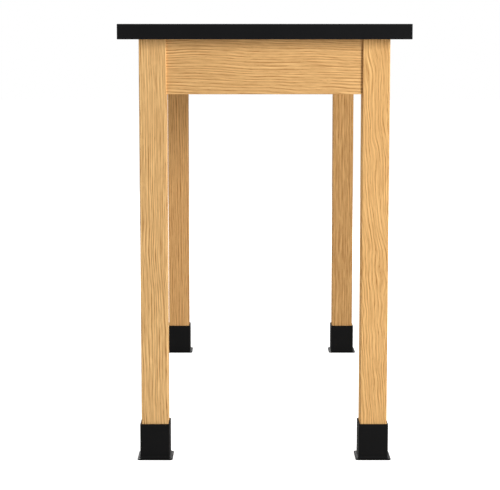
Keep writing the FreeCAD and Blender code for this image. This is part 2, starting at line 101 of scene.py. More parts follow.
# The amber and umber tones of the rear legs are darker partly as painted shade, deepening the shade under the
# top
OAK_TONES = {
    "straw": {"pale": (255, 210, 145), "dark": (170, 116, 62)},
    "honey": {"pale": (251, 203, 136), "dark": (164, 109, 54)},
    "amber_painted_shade": {"pale": (240, 191, 127), "dark": (156, 101, 53)},
    "tan": {"pale": (246, 199, 135), "dark": (161, 108, 57)},
    "umber_painted_shade": {"pale": (227, 180, 119), "dark": (146, 96, 48)},
}
OAK_ROUGHNESS = 0.68
OAK_SPECULAR = 0.02
OAK_RELIEF = 0.05 * MM

# Noises of the oak, in cells a metre with the last along the grain
OAK_NOISES = {
    "wander": {"cells": (5.0, 5.0, 1.8), "detail": 2.0},
    "ripple": {"cells": (24.0, 24.0, 13.0)},
    "seasons": {"cells": (45.0, 0.0, 0.0)},
    "vigour": {"cells": (60.0, 30.0, 13.0)},
    "streaks": {"cells": (360.0, 240.0, 16.0)},
    "fibre": {"cells": (900.0, 900.0, 30.0), "detail": 2.0},
    "pores": {"cells": (2100.0, 2100.0, 85.0)},
    "flecks": {"cells": (34.0, 640.0, 26.0)},
    "tone": {"cells": (11.0, 11.0, 2.6), "detail": 2.0},
}

# Grain: its share of wander in the other way across, how many rings good and bad years shift it by, where in
# a ring early wood ends and late wood begins, the middle level of rings, how faint rings and late pores get,
# and where marks begin and are full
DEPTH_WANDER_SHARE = 0.2
SEASON_RINGS = 2.0
EARLY_WOOD_SHARE = 0.5
LATE_WOOD_SHARE = 0.8
MEAN_RING_SHARE = 0.35
FAINT_RING_SHARE = 0.15
LATE_PORES_SHARE = 0.2
VIGOUR_SHARES = (0.35, 0.65)
PORE_SHARES = (0.56, 0.7)
FLECK_SHARES = (0.64, 0.76)

# How far the oak's marks darken it, dull it and stand out of it
# The oak's edges come out paler: partly rubbed wear, partly a painted highlight along them
OAK_DARK_SHARES = {"board": 0.38, "fibre": 0.9, "pores": 0.35, "flecks": -0.14, "tone": 0.12, "rub": -0.08}
OAK_DULL_SHARES = {"fibre": 0.1, "pores": 0.15, "rub": -0.12}
OAK_HEIGHT_SHARES = {"ring": -0.25, "pores": -1.0}

# The knot at the edge of the front right leg that its grain sweeps round: its height, reach and spread
KNOT_BOARD = "leg_front_right"
KNOT_HEIGHT = 0.41
KNOT_REACH = 18.0 * MM
KNOT_SPREAD = (26.0 * MM, 30.0 * MM, 90.0 * MM)

# How far the edge mask reaches in, and the patches that break it up: rubbed wear on every finish, and on the
# oak a painted highlight too
WEAR_AND_HIGHLIGHT_WIDTH = 2.2 * MM
WEAR_AND_HIGHLIGHT_NOISE = {"cells": (45.0, 45.0, 45.0), "detail": 3.0}
WEAR_AND_HIGHLIGHT_SHARES = (0.35, 0.65)

# Moulded and pressed finishes: the size of their pebble, colours, roughness, how far handling has polished
# them, the pebble's height and their gloss
SKINS = {
    "black_laminate": {
        "pebble": 0.9 * MM, "pale": (24, 24, 25), "dark": (12, 12, 13), "roughness": 0.6, "polish": 0.035,
        "relief": 0.03 * MM, "specular": 0.2},
    "black_edge_band": {
        "pebble": 0.5 * MM, "pale": (22, 22, 23), "dark": (14, 14, 15), "roughness": 0.7, "polish": 0.1,
        "relief": 0.01 * MM, "specular": 0.06},
    "backer_sheet": {
        "pebble": 1.4 * MM, "pale": (98, 76, 56), "dark": (74, 56, 42), "roughness": 0.7, "polish": 0.1,
        "relief": 0.02 * MM, "specular": 0.3},
    "board_core": {
        "pebble": 3.0 * MM, "pale": (188, 158, 112), "dark": (120, 92, 58), "roughness": 0.85, "polish": 0.0,
        "relief": 0.2 * MM, "specular": 0.2},
    "nylon": {
        "pebble": 0.4 * MM, "pale": (44, 44, 45), "dark": (28, 28, 29), "roughness": 0.6, "polish": 0.1,
        "relief": 0.01 * MM, "specular": 0.15},
    "black_rubber": {
        "pebble": 0.7 * MM, "pale": (21, 21, 21), "dark": (12, 12, 12), "roughness": 0.78, "polish": 0.06,
        "relief": 0.02 * MM, "specular": 0.07},
}
SKIN_NOISES = {
    "clouds": {"cells": (9.0, 9.0, 9.0), "detail": 3.0},
    "wiped": {"cells": (14.0, 14.0, 14.0), "detail": 2.0},
}
SPECKS_IN_PEBBLE = 0.9
SPECK_DETAIL = 2.0
WIPED_SHARES = (0.35, 0.7)

# How far the moulded finishes' marks make them paler and duller
SKIN_PALE_SHARES = {"skin": 0.35, "specks": 1.1, "clouds": 0.25, "rub": 0.8, "pebble": 0.25}
SKIN_DULL_SHARES = {"specks": 0.08, "rub": -0.15}

# The boots' flange, glossier than their walls from its top down to its cove's foot
FLANGE_TOP = 9.0 * MM
FLANGE_FOOT = 5.0 * MM
FLANGE_POLISH = 0.3

# Bright plated steel: its colours, roughness and relief, its bloom in cells a metre, and what its marks do
ZINC_PALE = (205, 208, 212)
ZINC_DARK = (150, 154, 160)
ZINC_ROUGHNESS = 0.18
ZINC_RELIEF = 0.01 * MM
BLOOM_CELLS = 420.0
PLATING_NOISES = {
    "dull": {"cells": (60.0, 60.0, 60.0), "detail": 3.0},
    "lines": {"cells": (900.0, 900.0, 30.0)},
}
PLATING_PALE_SHARES = {"dull": 0.6, "bloom": 0.35}
PLATING_DULL_SHARES = {"lines": 0.1, "dull": 0.22}

# Fasteners, in the sizes of their solids, the facets round them, the most sides of a face that closes the end
# of a thread, and the seeds of their turns
SCREW_LENGTH = 18.9 * MM
SCREW_HEAD_HEIGHT = 3.0 * MM
SCREW_HEAD_RADIUS = 4.7 * MM
SCREW_CROWN_RADIUS = 2.9 * MM
SCREW_CROWN_STEPS = 6
SCREW_RIM = 1.5 * MM
SCREW_RADIUS = 2.4 * MM
SCREW_ROOT_RADIUS = 1.7 * MM
SCREW_PITCH = 1.8 * MM
SCREW_POINT = 4.5 * MM
RECESS_SPAN = 4.6 * MM
RECESS_WIDTH = 1.1 * MM
RECESS_DEPTH = 1.9 * MM
RECESS_TAPER_SHARE = 0.45
BOLT_RADIUS = 3.95 * MM
BOLT_ROOT_RADIUS = 3.2 * MM
BOLT_LAG_PITCH = 2.8 * MM
BOLT_MACHINE_PITCH = 1.41 * MM
BOLT_BITE = 38.0 * MM
BOLT_POINT = 7.0 * MM
BOLT_LENGTH = 61.8 * MM
BOLT_CHAMFER = 0.8 * MM
STUD_RADIUS = 4.75 * MM
STUD_ROOT_RADIUS = 4.1 * MM
STUD_PITCH = 1.5875 * MM
STUD_CHAMFER = 1.0 * MM
STUD_PIN_RADIUS = 3.8 * MM
HEX_ACROSS = 14.3 * MM
HEX_HEIGHT = 6.2 * MM
HEX_CHAMFER = 0.7 * MM
PIN_LENGTH = 3.4 * MM
LATHE_FACETS = 48
THREAD_END_SIDES = 4
TURN_SEEDS = {"bracket_screws": 3, "clip_screws": 8, "hanger_bolts": 5}

# The curve of screen colours: its full value, where its straight part ends and how steep that is, and the
# lift and power of the rest
SCREEN_FULL = 255
SCREEN_KNEE = 0.04045
SCREEN_SLOPE = 12.92
SCREEN_LIFT = 0.055
SCREEN_POWER = 2.4

# Closer together than this, two points of a mesh are one
WELD = 1e-6

# Points this near to a fastener's end belong to that end
END_DEPTH = 0.1 * MM


def srgb(red, green, blue):
    """A colour given in screen values from 0 to 255, as the shaders take it."""
    linear = []
    for value in (red, green, blue):
        share = value / SCREEN_FULL
        if share <= SCREEN_KNEE:
            linear.append(share / SCREEN_SLOPE)
        else:
            linear.append(((share + SCREEN_LIFT) / (1.0 + SCREEN_LIFT)) ** SCREEN_POWER)
    return (*linear, 1.0)


# Node trees
def put(tree, kind, inputs=None, **settings):
    """A new node in a tree. Its inputs are values or other nodes' sockets, by name or number."""
    made = tree.nodes.new(kind)
    for name, value in settings.items():
        setattr(made, name, value)
    for name, value in (inputs or {}).items():
        if isinstance(value, bpy.types.NodeSocket):
            tree.links.new(value, made.inputs[name])
        else:
            made.inputs[name].default_value = value
    return made


def sums(tree, operation, *terms):
    """The result of a Math node on values or sockets."""
    return put(tree, "ShaderNodeMath", dict(enumerate(terms)), operation=operation).outputs[0]


def vectors(tree, operation, *terms):
    """The result of a Vector Math node on vectors or sockets."""
    made = put(tree, "ShaderNodeVectorMath", dict(enumerate(terms)), operation=operation)
    return made.outputs["Value" if operation == "LENGTH" else "Vector"]


def joined(tree, *parts):
    """A vector of up to three parts. What isn't given is 0."""
    return put(tree, "ShaderNodeCombineXYZ", dict(enumerate(parts))).outputs[0]


def noise(tree, place, cells, detail=1.0, output="Fac"):
    """Noise from 0 to 1 over a place, at so many cells a metre along X, Y and Z."""
    scaled = vectors(tree, "MULTIPLY", place, cells)
    inputs = {"Vector": scaled, "Scale": 1.0, "Detail": detail}
    return put(tree, "ShaderNodeTexNoise", inputs).outputs[output]


def centred(tree, value):
    """A value from 0 to 1 made to swing about zero."""
    return sums(tree, "SUBTRACT", value, 0.5)


def ramp(tree, value, low, high):
    """A smooth step from 0 at low to 1 at high."""
    inputs = {"Value": value, "From Min": low, "From Max": high}
    return put(tree, "ShaderNodeMapRange", inputs, interpolation_type="SMOOTHSTEP").outputs["Result"]


def add_marks(tree, total, shares, **marks):
    """A value and the marks on it, each times its share."""
    for name, mark in marks.items():
        total = sums(tree, "MULTIPLY_ADD", mark, shares[name], total)
    return total


def blend_colours(tree, share, first, second):
    """A colour between two others. The node's colours go by number, because its sockets' names repeat."""
    inputs = {"Factor": share, 6: first, 7: second}
    return put(tree, "ShaderNodeMix", inputs, data_type="RGBA").outputs[2]


def new_group(name, inputs, outputs):
    """A shader node group: inputs give each socket's kind and value, outputs each socket's kind."""
    tree = bpy.data.node_groups.new(name, "ShaderNodeTree")
    for label, (kind, value) in inputs.items():
        socket = tree.interface.new_socket(label, in_out="INPUT", socket_type="NodeSocket" + kind)
        if value is not None:
            socket.default_value = value
    for label, kind in outputs.items():
        tree.interface.new_socket(label, in_out="OUTPUT", socket_type="NodeSocket" + kind)
    return tree, tree.nodes.new("NodeGroupInput").outputs, tree.nodes.new("NodeGroupOutput")


def send(tree, group_output, **results):
    """Links a group's results to its outputs."""
    for name, socket in results.items():
        tree.links.new(socket, group_output.inputs[name])


def set_values(sockets, values):
    """Gives sockets their values, by name."""
    for name, value in values.items():
        sockets[name].default_value = value


# Shader groups
def bend_grain(tree, given):
    """Each point's place in a straight log: the board's grain sweeps round its knot, wanders and ripples."""
    place = given["Vector"]
    near = vectors(tree, "DIVIDE", vectors(tree, "SUBTRACT", place, given["Knot"]), KNOT_SPREAD)
    near = vectors(tree, "LENGTH", near)
    fading = sums(tree, "EXPONENT", sums(tree, "MULTIPLY", sums(tree, "MULTIPLY", near, near), -1.0))
    sweep = joined(tree, sums(tree, "MULTIPLY", fading, given["Knot Reach"]))
    bent = vectors(tree, "SUBTRACT", place, sweep)
    for label in ("Wander", "Ripple"):
        sway = noise(tree, place, **OAK_NOISES[label.lower()], output="Color")
        sway = vectors(tree, "SUBTRACT", sway, (0.5, 0.5, 0.5))
        depth = sums(tree, "MULTIPLY", given[label], DEPTH_WANDER_SHARE)
        bent = vectors(tree, "MULTIPLY_ADD", sway, joined(tree, given[label], depth), bent)
    return bent


def grow_rings(tree, radius, ring_width):
    """The rings round the pith, 1 where they are darkest, and their early wood."""
    seasons = centred(tree, noise(tree, joined(tree, radius), **OAK_NOISES["seasons"]))
    count = sums(tree, "MULTIPLY_ADD", seasons, SEASON_RINGS, sums(tree, "DIVIDE", radius, ring_width))
    phase = sums(tree, "FRACT", count)
    early = sums(tree, "SUBTRACT", 1.0, ramp(tree, phase, 0.0, EARLY_WOOD_SHARE))
    late = ramp(tree, phase, LATE_WOOD_SHARE, 1.0)
    return sums(tree, "MAXIMUM", early, late), early


def make_oak_figure():
    """Sawn oak in a solid: streaks and rings about a pith along Z, a knot, open pores and ray flecks."""
    tree, given, result = new_group(
        "oak_figure",
        {"Vector": ("Vector", None), "Rub": ("Float", 0.0), "Wander": ("Float", 0.0),
         "Ripple": ("Float", 0.0), "Ring Width": ("Float", MM), "Rings": ("Float", 0.5),
         "Streaks": ("Float", 1.0), "Knot": ("Vector", None), "Knot Reach": ("Float", 0.0),
         "Pale": ("Color", None), "Dark": ("Color", None)},
        {"Color": "Color", "Height": "Float", "Roughness": "Float"},
    )
    bent = bend_grain(tree, given)
    bent_parts = put(tree, "ShaderNodeSeparateXYZ", {0: bent}).outputs
    radius = vectors(tree, "LENGTH", vectors(tree, "MULTIPLY", bent, (1.0, 1.0, 0.0)))
    around = sums(tree, "MULTIPLY", sums(tree, "ARCTAN2", bent_parts[1], bent_parts[0]), radius)
    ring_place = joined(tree, radius, around, bent_parts[2])
    ring, early = grow_rings(tree, radius, given["Ring Width"])

    vigour = ramp(tree, noise(tree, ring_place, **OAK_NOISES["vigour"]), *VIGOUR_SHARES)
    vigour = sums(tree, "MULTIPLY_ADD", vigour, 1.0 - FAINT_RING_SHARE, FAINT_RING_SHARE)
    swing = sums(tree, "MULTIPLY", sums(tree, "SUBTRACT", ring, MEAN_RING_SHARE), vigour)
    streaks = centred(tree, noise(tree, ring_place, **OAK_NOISES["streaks"]))
    fibre = centred(tree, noise(tree, bent, **OAK_NOISES["fibre"]))
    pores = ramp(tree, noise(tree, bent, **OAK_NOISES["pores"]), *PORE_SHARES)
    open_share = sums(tree, "MULTIPLY_ADD", early, 1.0 - LATE_PORES_SHARE, LATE_PORES_SHARE)
    pores = sums(tree, "MULTIPLY", pores, open_share)
    flecks = ramp(tree, noise(tree, ring_place, **OAK_NOISES["flecks"]), *FLECK_SHARES)
    tone = centred(tree, noise(tree, given["Vector"], **OAK_NOISES["tone"]))

    # Edges come out paler: partly rubbed wear, partly a painted highlight along them
    rub = given["Rub"]
    darkness = sums(tree, "MULTIPLY_ADD", swing, given["Rings"], OAK_DARK_SHARES["board"])
    darkness = sums(tree, "MULTIPLY_ADD", streaks, given["Streaks"], darkness)
    darkness = add_marks(tree, darkness, OAK_DARK_SHARES,
                         fibre=fibre, pores=pores, flecks=flecks, tone=tone, rub=rub)
    colour = blend_colours(tree, darkness, given["Pale"], given["Dark"])
    height = add_marks(tree, 0.0, OAK_HEIGHT_SHARES, ring=ring, pores=pores)
    dullness = add_marks(tree, OAK_ROUGHNESS, OAK_DULL_SHARES, fibre=fibre, pores=pores, rub=rub)
    send(tree, result, Color=colour, Height=height, Roughness=dullness)
    return tree


def make_moulded_skin():
    """A moulded or pressed surface: a fine pebble, faint clouds of tone and patches polished by handling."""
    tree, given, result = new_group(
        "moulded_skin",
        {"Vector": ("Vector", None), "Rub": ("Float", 0.0), "Pebble Size": ("Float", MM),
         "Pale": ("Color", None), "Dark": ("Color", None), "Roughness": ("Float", 0.5),
         "Polish": ("Float", 0.1)},
        {"Color": "Color", "Height": "Float", "Roughness": "Float"},
    )
    place = given["Vector"]
    rub = given["Rub"]
    cells = sums(tree, "DIVIDE", 1.0, given["Pebble Size"])
    pebbles = put(tree, "ShaderNodeVectorMath", {0: place, "Scale": cells}, operation="SCALE").outputs[0]
    pebble = put(tree, "ShaderNodeTexVoronoi", {"Vector": pebbles, "Scale": 1.0}, feature="SMOOTH_F1")
    pebble = pebble.outputs["Distance"]
    speck_inputs = {"Vector": pebbles, "Scale": SPECKS_IN_PEBBLE, "Detail": SPECK_DETAIL}
    specks = centred(tree, put(tree, "ShaderNodeTexNoise", speck_inputs).outputs["Fac"])
    clouds = centred(tree, noise(tree, place, **SKIN_NOISES["clouds"]))
    wiped = ramp(tree, noise(tree, place, **SKIN_NOISES["wiped"]), *WIPED_SHARES)
    paleness = add_marks(tree, SKIN_PALE_SHARES["skin"], SKIN_PALE_SHARES,
                         specks=specks, clouds=clouds, rub=rub, pebble=pebble)
    colour = blend_colours(tree, paleness, given["Dark"], given["Pale"])
    polished = sums(tree, "MULTIPLY", wiped, given["Polish"])
    dullness = sums(tree, "SUBTRACT", given["Roughness"], polished)
    dullness = add_marks(tree, dullness, SKIN_DULL_SHARES, specks=specks, rub=rub)
    send(tree, result, Color=colour, Height=pebble, Roughness=dullness)
    return tree


def make_edge_rub():
    """Where the edges of a box-shaped piece are worn, and on the oak given a painted highlight: 1 along them,
    less with depth, and in patches.
    """
    tree, given, result = new_group(
        "edge_rub",
        {"Vector": ("Vector", None), "Middle": ("Vector", None), "Half Size": ("Vector", None),
         "Width": ("Float", MM)},
        {"Rub": "Float"},
    )
    away = vectors(tree, "ABSOLUTE", vectors(tree, "SUBTRACT", given["Vector"], given["Middle"]))
    depth = vectors(tree, "SUBTRACT", given["Half Size"], away)
    depths = put(tree, "ShaderNodeSeparateXYZ", {0: depth}).outputs
    least = sums(tree, "MINIMUM", depths[0], depths[1])
    most = sums(tree, "MAXIMUM", depths[0], depths[1])
    second_least = sums(tree, "MAXIMUM", least, sums(tree, "MINIMUM", most, depths[2]))
    near = sums(tree, "SUBTRACT", 1.0, ramp(tree, second_least, 0.0, given["Width"]))
    patches = ramp(tree, noise(tree, given["Vector"], **WEAR_AND_HIGHLIGHT_NOISE), *WEAR_AND_HIGHLIGHT_SHARES)
    send(tree, result, Rub=sums(tree, "MULTIPLY", near, patches))
    return tree


def make_plating():
    """Bright plated steel: a faint crystal bloom, rolling lines along Z and duller patches."""
    tree, given, result = new_group(
        "plating",
        {"Vector": ("Vector", None), "Pale": ("Color", None), "Dark": ("Color", None)},
        {"Color": "Color", "Height": "Float", "Roughness": "Float"},
    )
    place = given["Vector"]
    bloom = put(tree, "ShaderNodeTexVoronoi", {"Vector": place, "Scale": BLOOM_CELLS}).outputs["Color"]
    bloom = put(tree, "ShaderNodeSeparateColor", {0: bloom}).outputs[0]
    dull = noise(tree, place, **PLATING_NOISES["dull"])
    lines = noise(tree, place, **PLATING_NOISES["lines"])
    paleness = add_marks(tree, 0.0, PLATING_PALE_SHARES, dull=dull, bloom=bloom)
    colour = blend_colours(tree, paleness, given["Dark"], given["Pale"])
    dullness = add_marks(tree, ZINC_ROUGHNESS, PLATING_DULL_SHARES, lines=lines, dull=dull)
    send(tree, result, Color=colour, Height=lines, Roughness=dullness)
    return tree


OAK_FIGURE = make_oak_figure()
MOULDED_SKIN = make_moulded_skin()
EDGE_WEAR_AND_HIGHLIGHT = make_edge_rub()
PLATING = make_plating()


# Materials
def new_material(name, group, place, relief, rubbed_box=None, **constants):
    """A material whose colour, roughness and relief come from a group, with the edges of a box worn; on the
    oak that wear also paints a highlight along them. Its other values are set on the shader."""
    material = bpy.data.materials.new(name)
    material.use_nodes = True
    tree = material.node_tree
    tree.nodes.clear()
    coordinates = put(tree, "ShaderNodeTexCoord").outputs["Object"]
    mapping = put(tree, "ShaderNodeMapping", {"Vector": coordinates, **place}).outputs[0]
    figure = put(tree, "ShaderNodeGroup", node_tree=group)
    tree.links.new(mapping, figure.inputs["Vector"])
    if rubbed_box:
        low, high = rubbed_box
        rub = put(tree, "ShaderNodeGroup", node_tree=EDGE_WEAR_AND_HIGHLIGHT)
        tree.links.new(coordinates, rub.inputs["Vector"])
        box = {"Middle": (low + high) / 2, "Half Size": (high - low) / 2, "Width": WEAR_AND_HIGHLIGHT_WIDTH}
        set_values(rub.inputs, box)
        tree.links.new(rub.outputs["Rub"], figure.inputs["Rub"])
    bump = put(tree, "ShaderNodeBump", {"Height": figure.outputs["Height"], "Distance": relief})
    shader = put(tree, "ShaderNodeBsdfPrincipled", {
        "Base Color": figure.outputs["Color"],
        "Roughness": figure.outputs["Roughness"],
        "Normal": bump.outputs["Normal"],
        **constants,
    })
    put(tree, "ShaderNodeOutputMaterial", {"Surface": shader.outputs[0]})
    return material, figure.inputs


def oak_board(node):
    """Lacquered oak for one board, with its grain along it and its pith where it was cut from the log."""
    board = OAK_BOARDS[node]
    tone = OAK_TONES[board["tone"]]
    low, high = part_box(node)
    turn = Vector(board["grain"]).rotation_difference(Vector((0, 0, 1))).to_euler()
    shift = Vector(board["pith"]) - turn.to_matrix() @ ((low + high) / 2)
    place = {"Rotation": turn, "Location": shift}
    material, inputs = new_material("oak_" + node, OAK_FIGURE, place, OAK_RELIEF, (low, high),
                                    **{"Specular IOR Level": OAK_SPECULAR})
    set_values(inputs, {
        "Pale": srgb(*tone["pale"]),
        "Dark": srgb(*tone["dark"]),
        "Wander": board["wander"],
        "Ripple": board["ripple"],
        "Ring Width": board["ring"],
        "Rings": board["rings"],
        "Streaks": board["streaks"],
    })
    if node == KNOT_BOARD:
        knot = Vector((high.x, low.y, KNOT_HEIGHT))
        set_values(inputs, {"Knot": turn.to_matrix() @ knot + shift, "Knot Reach": KNOT_REACH})
    return material


def pebbled_skin(kind, rubbed_box=None, ending=""):
    """Laminate, band, board, rubber or nylon with a fine pebble."""
    skin = SKINS[kind]
    material, inputs = new_material(kind + ending, MOULDED_SKIN, {}, skin["relief"], rubbed_box,
                                    **{"Specular IOR Level": skin["specular"]})
    set_values(inputs, {
        "Pebble Size": skin["pebble"],
        "Pale": srgb(*skin["pale"]),
        "Dark": srgb(*skin["dark"]),
        "Roughness": skin["roughness"],
        "Polish": skin["polish"],
    })
    return material


def polish_flange(material):
    """Makes the flange of a boot glossier than its walls, as shoes and mops leave it."""
    tree = material.node_tree
    roughness = tree.nodes["Principled BSDF"].inputs["Roughness"]
    place = put(tree, "ShaderNodeTexCoord").outputs["Object"]
    height = put(tree, "ShaderNodeSeparateXYZ", {0: place}).outputs[2]
    flange = ramp(tree, height, FLANGE_TOP, FLANGE_FOOT)
    dulled = roughness.links[0].from_socket
    tree.links.new(sums(tree, "MULTIPLY_ADD", flange, -FLANGE_POLISH, dulled), roughness)


def zinc():
    """Bright zinc plate on the steel hardware."""
    material, inputs = new_material("zinc_plate", PLATING, {}, ZINC_RELIEF, Metallic=1.0)
    set_values(inputs, {"Pale": srgb(*ZINC_PALE), "Dark": srgb(*ZINC_DARK)})
    return material


def dress(material, *nodes):
    """Gives CAD nodes a finish."""
    for node in nodes:
        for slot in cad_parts[node].material_slots:
            slot.material = material


# Fasteners
def lathe_mesh(name, profile, flats=None):
    """A mesh turned about Z from (radius, height) points that start and end on the axis. A third value is how
    far a point climbs in one turn. Where the mesh is wider than a hexagon of these flats, it has the
    hexagon's sides."""
    shape = bmesh.new()
    rings = []
    for radius, height, *climb in profile:
        ring = []
        for facet in range(LATHE_FACETS + 1):
            turn = 2 * math.pi * facet / LATHE_FACETS
            lift = sum(climb) * facet / LATHE_FACETS
            reach = radius
            if flats:
                reach = min(radius, flats / 2 / math.cos(turn % (math.pi / 3) - math.pi / 6))
            ring.append(shape.verts.new((reach * math.cos(turn), reach * math.sin(turn), height + lift)))
        rings.append(ring)
    for lower, upper in zip(rings, rings[1:]):
        for facet in range(LATHE_FACETS):
            shape.faces.new((lower[facet], lower[facet + 1], upper[facet + 1], upper[facet]))
    bmesh.ops.remove_doubles(shape, verts=shape.verts, dist=WELD)
    bmesh.ops.holes_fill(shape, edges=shape.edges, sides=THREAD_END_SIDES)
    bmesh.ops.recalc_face_normals(shape, faces=shape.faces)
    bmesh.ops.triangulate(shape, faces=shape.faces)
    mesh = bpy.data.meshes.new(name)
    shape.to_mesh(mesh)
    shape.free()
    return mesh


def thread(start, end, crest, root, pitch):
    """The outline of a right-hand thread between two heights, which climbs by its pitch in each turn."""
    turns = int((end - start) / pitch) - 1
    points = [(root, start)]
    for turn in range(turns):
        points += [(root, start + turn * pitch, pitch), (crest, start + (turn + 0.5) * pitch, pitch)]
    return points + [(root, start + turns * pitch, pitch), (root, end)]


def solids_of(node):
    """The points of each separate solid of a CAD node."""
    shape = bmesh.new()
    shape.from_mesh(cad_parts[node].data)
    bmesh.ops.remove_doubles(shape, verts=shape.verts, dist=WELD)
    left = set(shape.verts)
    solids = []
    for first in shape.verts:
        if first not in left:
            continue
        left.remove(first)
        reached = [first]
        for vert in reached:
            for edge in vert.link_edges:
                other = edge.other_vert(vert)
                if other in left:
                    left.remove(other)
                    reached.append(other)
        solids.append([vert.co.copy() for vert in reached])
    shape.free()
    return solids


def end_of(points, middle, way):
    """The middle of the points furthest out one way, and how far they spread round it."""
    reach = [(point - middle).dot(way) for point in points]
    end = [point for point, far in zip(points, reach) if max(reach) - far < END_DEPTH]
    place = sum(end, Vector()) / len(end)
    return place, max((point - place).length for point in end)


def fastener_seats(node):
    """The tip of each fastener of a CAD node and the way that it points, from its tip to its head."""
    seats = []
    for points in solids_of(node):
        middle = sum(points, Vector()) / len(points)
        spread = [point - middle for point in points]
        long_way = Vector(numpy.linalg.svd(spread, full_matrices=False)[2][0])
        ends = [end_of(points, middle, way) for way in (long_way, -long_way)]
        (tip, _), (head, _) = sorted(ends, key=lambda end: end[1])
        seats.append((tip, (head - tip).normalized()))
    return seats


def make_set_out():
    """A tree that sets out a fastener at every point, along the point's facing, each at a turn of its own."""
    tree = bpy.data.node_groups.new("set_out_fasteners", "GeometryNodeTree")
    kinds = {"Seats": "Geometry", "Fastener": "Object", "Finish": "Material", "Seed": "Int"}
    for label, kind in kinds.items():
        tree.interface.new_socket(label, in_out="INPUT", socket_type="NodeSocket" + kind)
    tree.interface.new_socket("Fasteners", in_out="OUTPUT", socket_type="NodeSocketGeometry")
    given = tree.nodes.new("NodeGroupInput").outputs
    shape = put(tree, "GeometryNodeObjectInfo", {"Object": given["Fastener"]}).outputs["Geometry"]
    facing = put(tree, "GeometryNodeInputNamedAttribute", {"Name": "facing"}, data_type="FLOAT_VECTOR")
    facing = facing.outputs["Attribute"]
    aligned = put(tree, "FunctionNodeAlignRotationToVector", {"Vector": facing}, axis="Z").outputs[0]
    turn = put(tree, "FunctionNodeRandomValue", {"Seed": given["Seed"]}, data_type="FLOAT")
    angle = sums(tree, "MULTIPLY", turn.outputs[1], 2 * math.pi)
    spin = put(tree, "FunctionNodeAxisAngleToRotation", {"Axis": (0, 0, 1), "Angle": angle}).outputs[0]
    turns = {"Rotation": aligned, "Rotate By": spin}
    spun = put(tree, "FunctionNodeRotateRotation", turns, rotation_space="LOCAL")
    seating = {"Points": given["Seats"], "Instance": shape, "Rotation": spun.outputs[0]}
    copies = put(tree, "GeometryNodeInstanceOnPoints", seating).outputs[0]
    real = put(tree, "GeometryNodeRealizeInstances", {"Geometry": copies}).outputs[0]
    finished = put(tree, "GeometryNodeSetMaterial", {"Geometry": real, "Material": given["Finish"]})
    put(tree, "NodeGroupOutput", {"Fasteners": finished.outputs[0]})
    return tree


def mesh_with(obj):
    """The plain mesh that an object's modifiers make."""
    depsgraph = bpy.context.evaluated_depsgraph_get()
    return bpy.data.meshes.new_from_object(obj.evaluated_get(depsgraph))


def shown(name, mesh):
    """An object for a mesh, in the scene."""
    made = bpy.data.objects.new(name, mesh)
    bpy.context.scene.collection.objects.link(made)
    return made


def set_out(name, node, fastener, finish):
    """One mesh of all the fasteners of a CAD node, in place of that node."""
    seats = fastener_seats(node)
    points = bpy.data.meshes.new(name)
    points.from_pydata([tip for tip, _ in seats], [], [])
    facing = points.attributes.new("facing", "FLOAT_VECTOR", "POINT")
    for entry, (_, direction) in zip(facing.data, seats):
        entry.vector = direction
    piece = shown(name, points)
    modifier = piece.modifiers.new("set_out", "NODES")
    modifier.node_group = SET_OUT
    settings = {"Fastener": fastener, "Finish": finish, "Seed": TURN_SEEDS[node]}
    for item in SET_OUT.interface.items_tree:
        if item.name in settings:
            modifier[item.identifier] = settings[item.name]
    made = mesh_with(piece)
    piece.modifiers.clear()
    piece.data = made
    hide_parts(node)
    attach(piece, "table_frame")
    return piece


def cross_recess():
    """The cutter for a screw's cross recess: two crossed bars that narrow downwards from Z = 0."""
    shape = bmesh.new()
    for turn in (0, 1):
        size = (RECESS_SPAN, RECESS_WIDTH) if turn else (RECESS_WIDTH, RECESS_SPAN)
        cube = bmesh.ops.create_cube(shape, size=1.0)["verts"]
        for vert in cube:
            narrowed = RECESS_TAPER_SHARE if vert.co.z < 0 else 1.0
            vert.co.x *= size[0] * narrowed
            vert.co.y *= size[1] * narrowed
            vert.co.z = -RECESS_DEPTH if vert.co.z < 0 else RECESS_DEPTH
    mesh = bpy.data.meshes.new("cross_recess")
    shape.to_mesh(mesh)
    shape.free()
    return mesh


def make_wood_screw():
    """A pan-head screw from its tip at the origin up to its head, with a thread and a cross recess."""
    seat = SCREW_LENGTH - SCREW_HEAD_HEIGHT
    body = thread(SCREW_POINT, seat, SCREW_RADIUS, SCREW_ROOT_RADIUS, SCREW_PITCH)
    crown = SCREW_HEAD_HEIGHT - SCREW_RIM
    rounds = [math.pi / 2 * step / SCREW_CROWN_STEPS for step in range(SCREW_CROWN_STEPS + 1)]
    head = [(SCREW_CROWN_RADIUS + (SCREW_HEAD_RADIUS - SCREW_CROWN_RADIUS) * math.cos(angle),
             seat + SCREW_RIM + crown * math.sin(angle)) for angle in rounds]
    profile = [(0, 0), *body, (SCREW_HEAD_RADIUS, seat), *head, (0, SCREW_LENGTH)]
    screw = shown("wood_screw", lathe_mesh("wood_screw", profile))
    cutter = shown("cross_recess", cross_recess())
    cutter.location.z = SCREW_LENGTH
    cut = screw.modifiers.new("recess", "BOOLEAN")
    cut.object = cutter
    cut.use_self = True
    bpy.context.view_layer.update()
    screw.data = mesh_with(screw)
    screw.modifiers.clear()
    bpy.data.objects.remove(cutter)
    return screw


def make_hanger_bolt():
    """A hanger bolt from its point at the origin: a coarse wood thread, then a fine thread for the nut."""
    end = BOLT_LENGTH - BOLT_CHAMFER
    wood = thread(BOLT_POINT, BOLT_BITE, BOLT_RADIUS, BOLT_ROOT_RADIUS, BOLT_LAG_PITCH)
    machine = thread(BOLT_BITE, end, BOLT_RADIUS, BOLT_ROOT_RADIUS, BOLT_MACHINE_PITCH)
    profile = [(0, 0), *wood, *machine[1:], (BOLT_ROOT_RADIUS, BOLT_LENGTH), (0, BOLT_LENGTH)]
    return shown("hanger_bolt", lathe_mesh("hanger_bolt", profile))


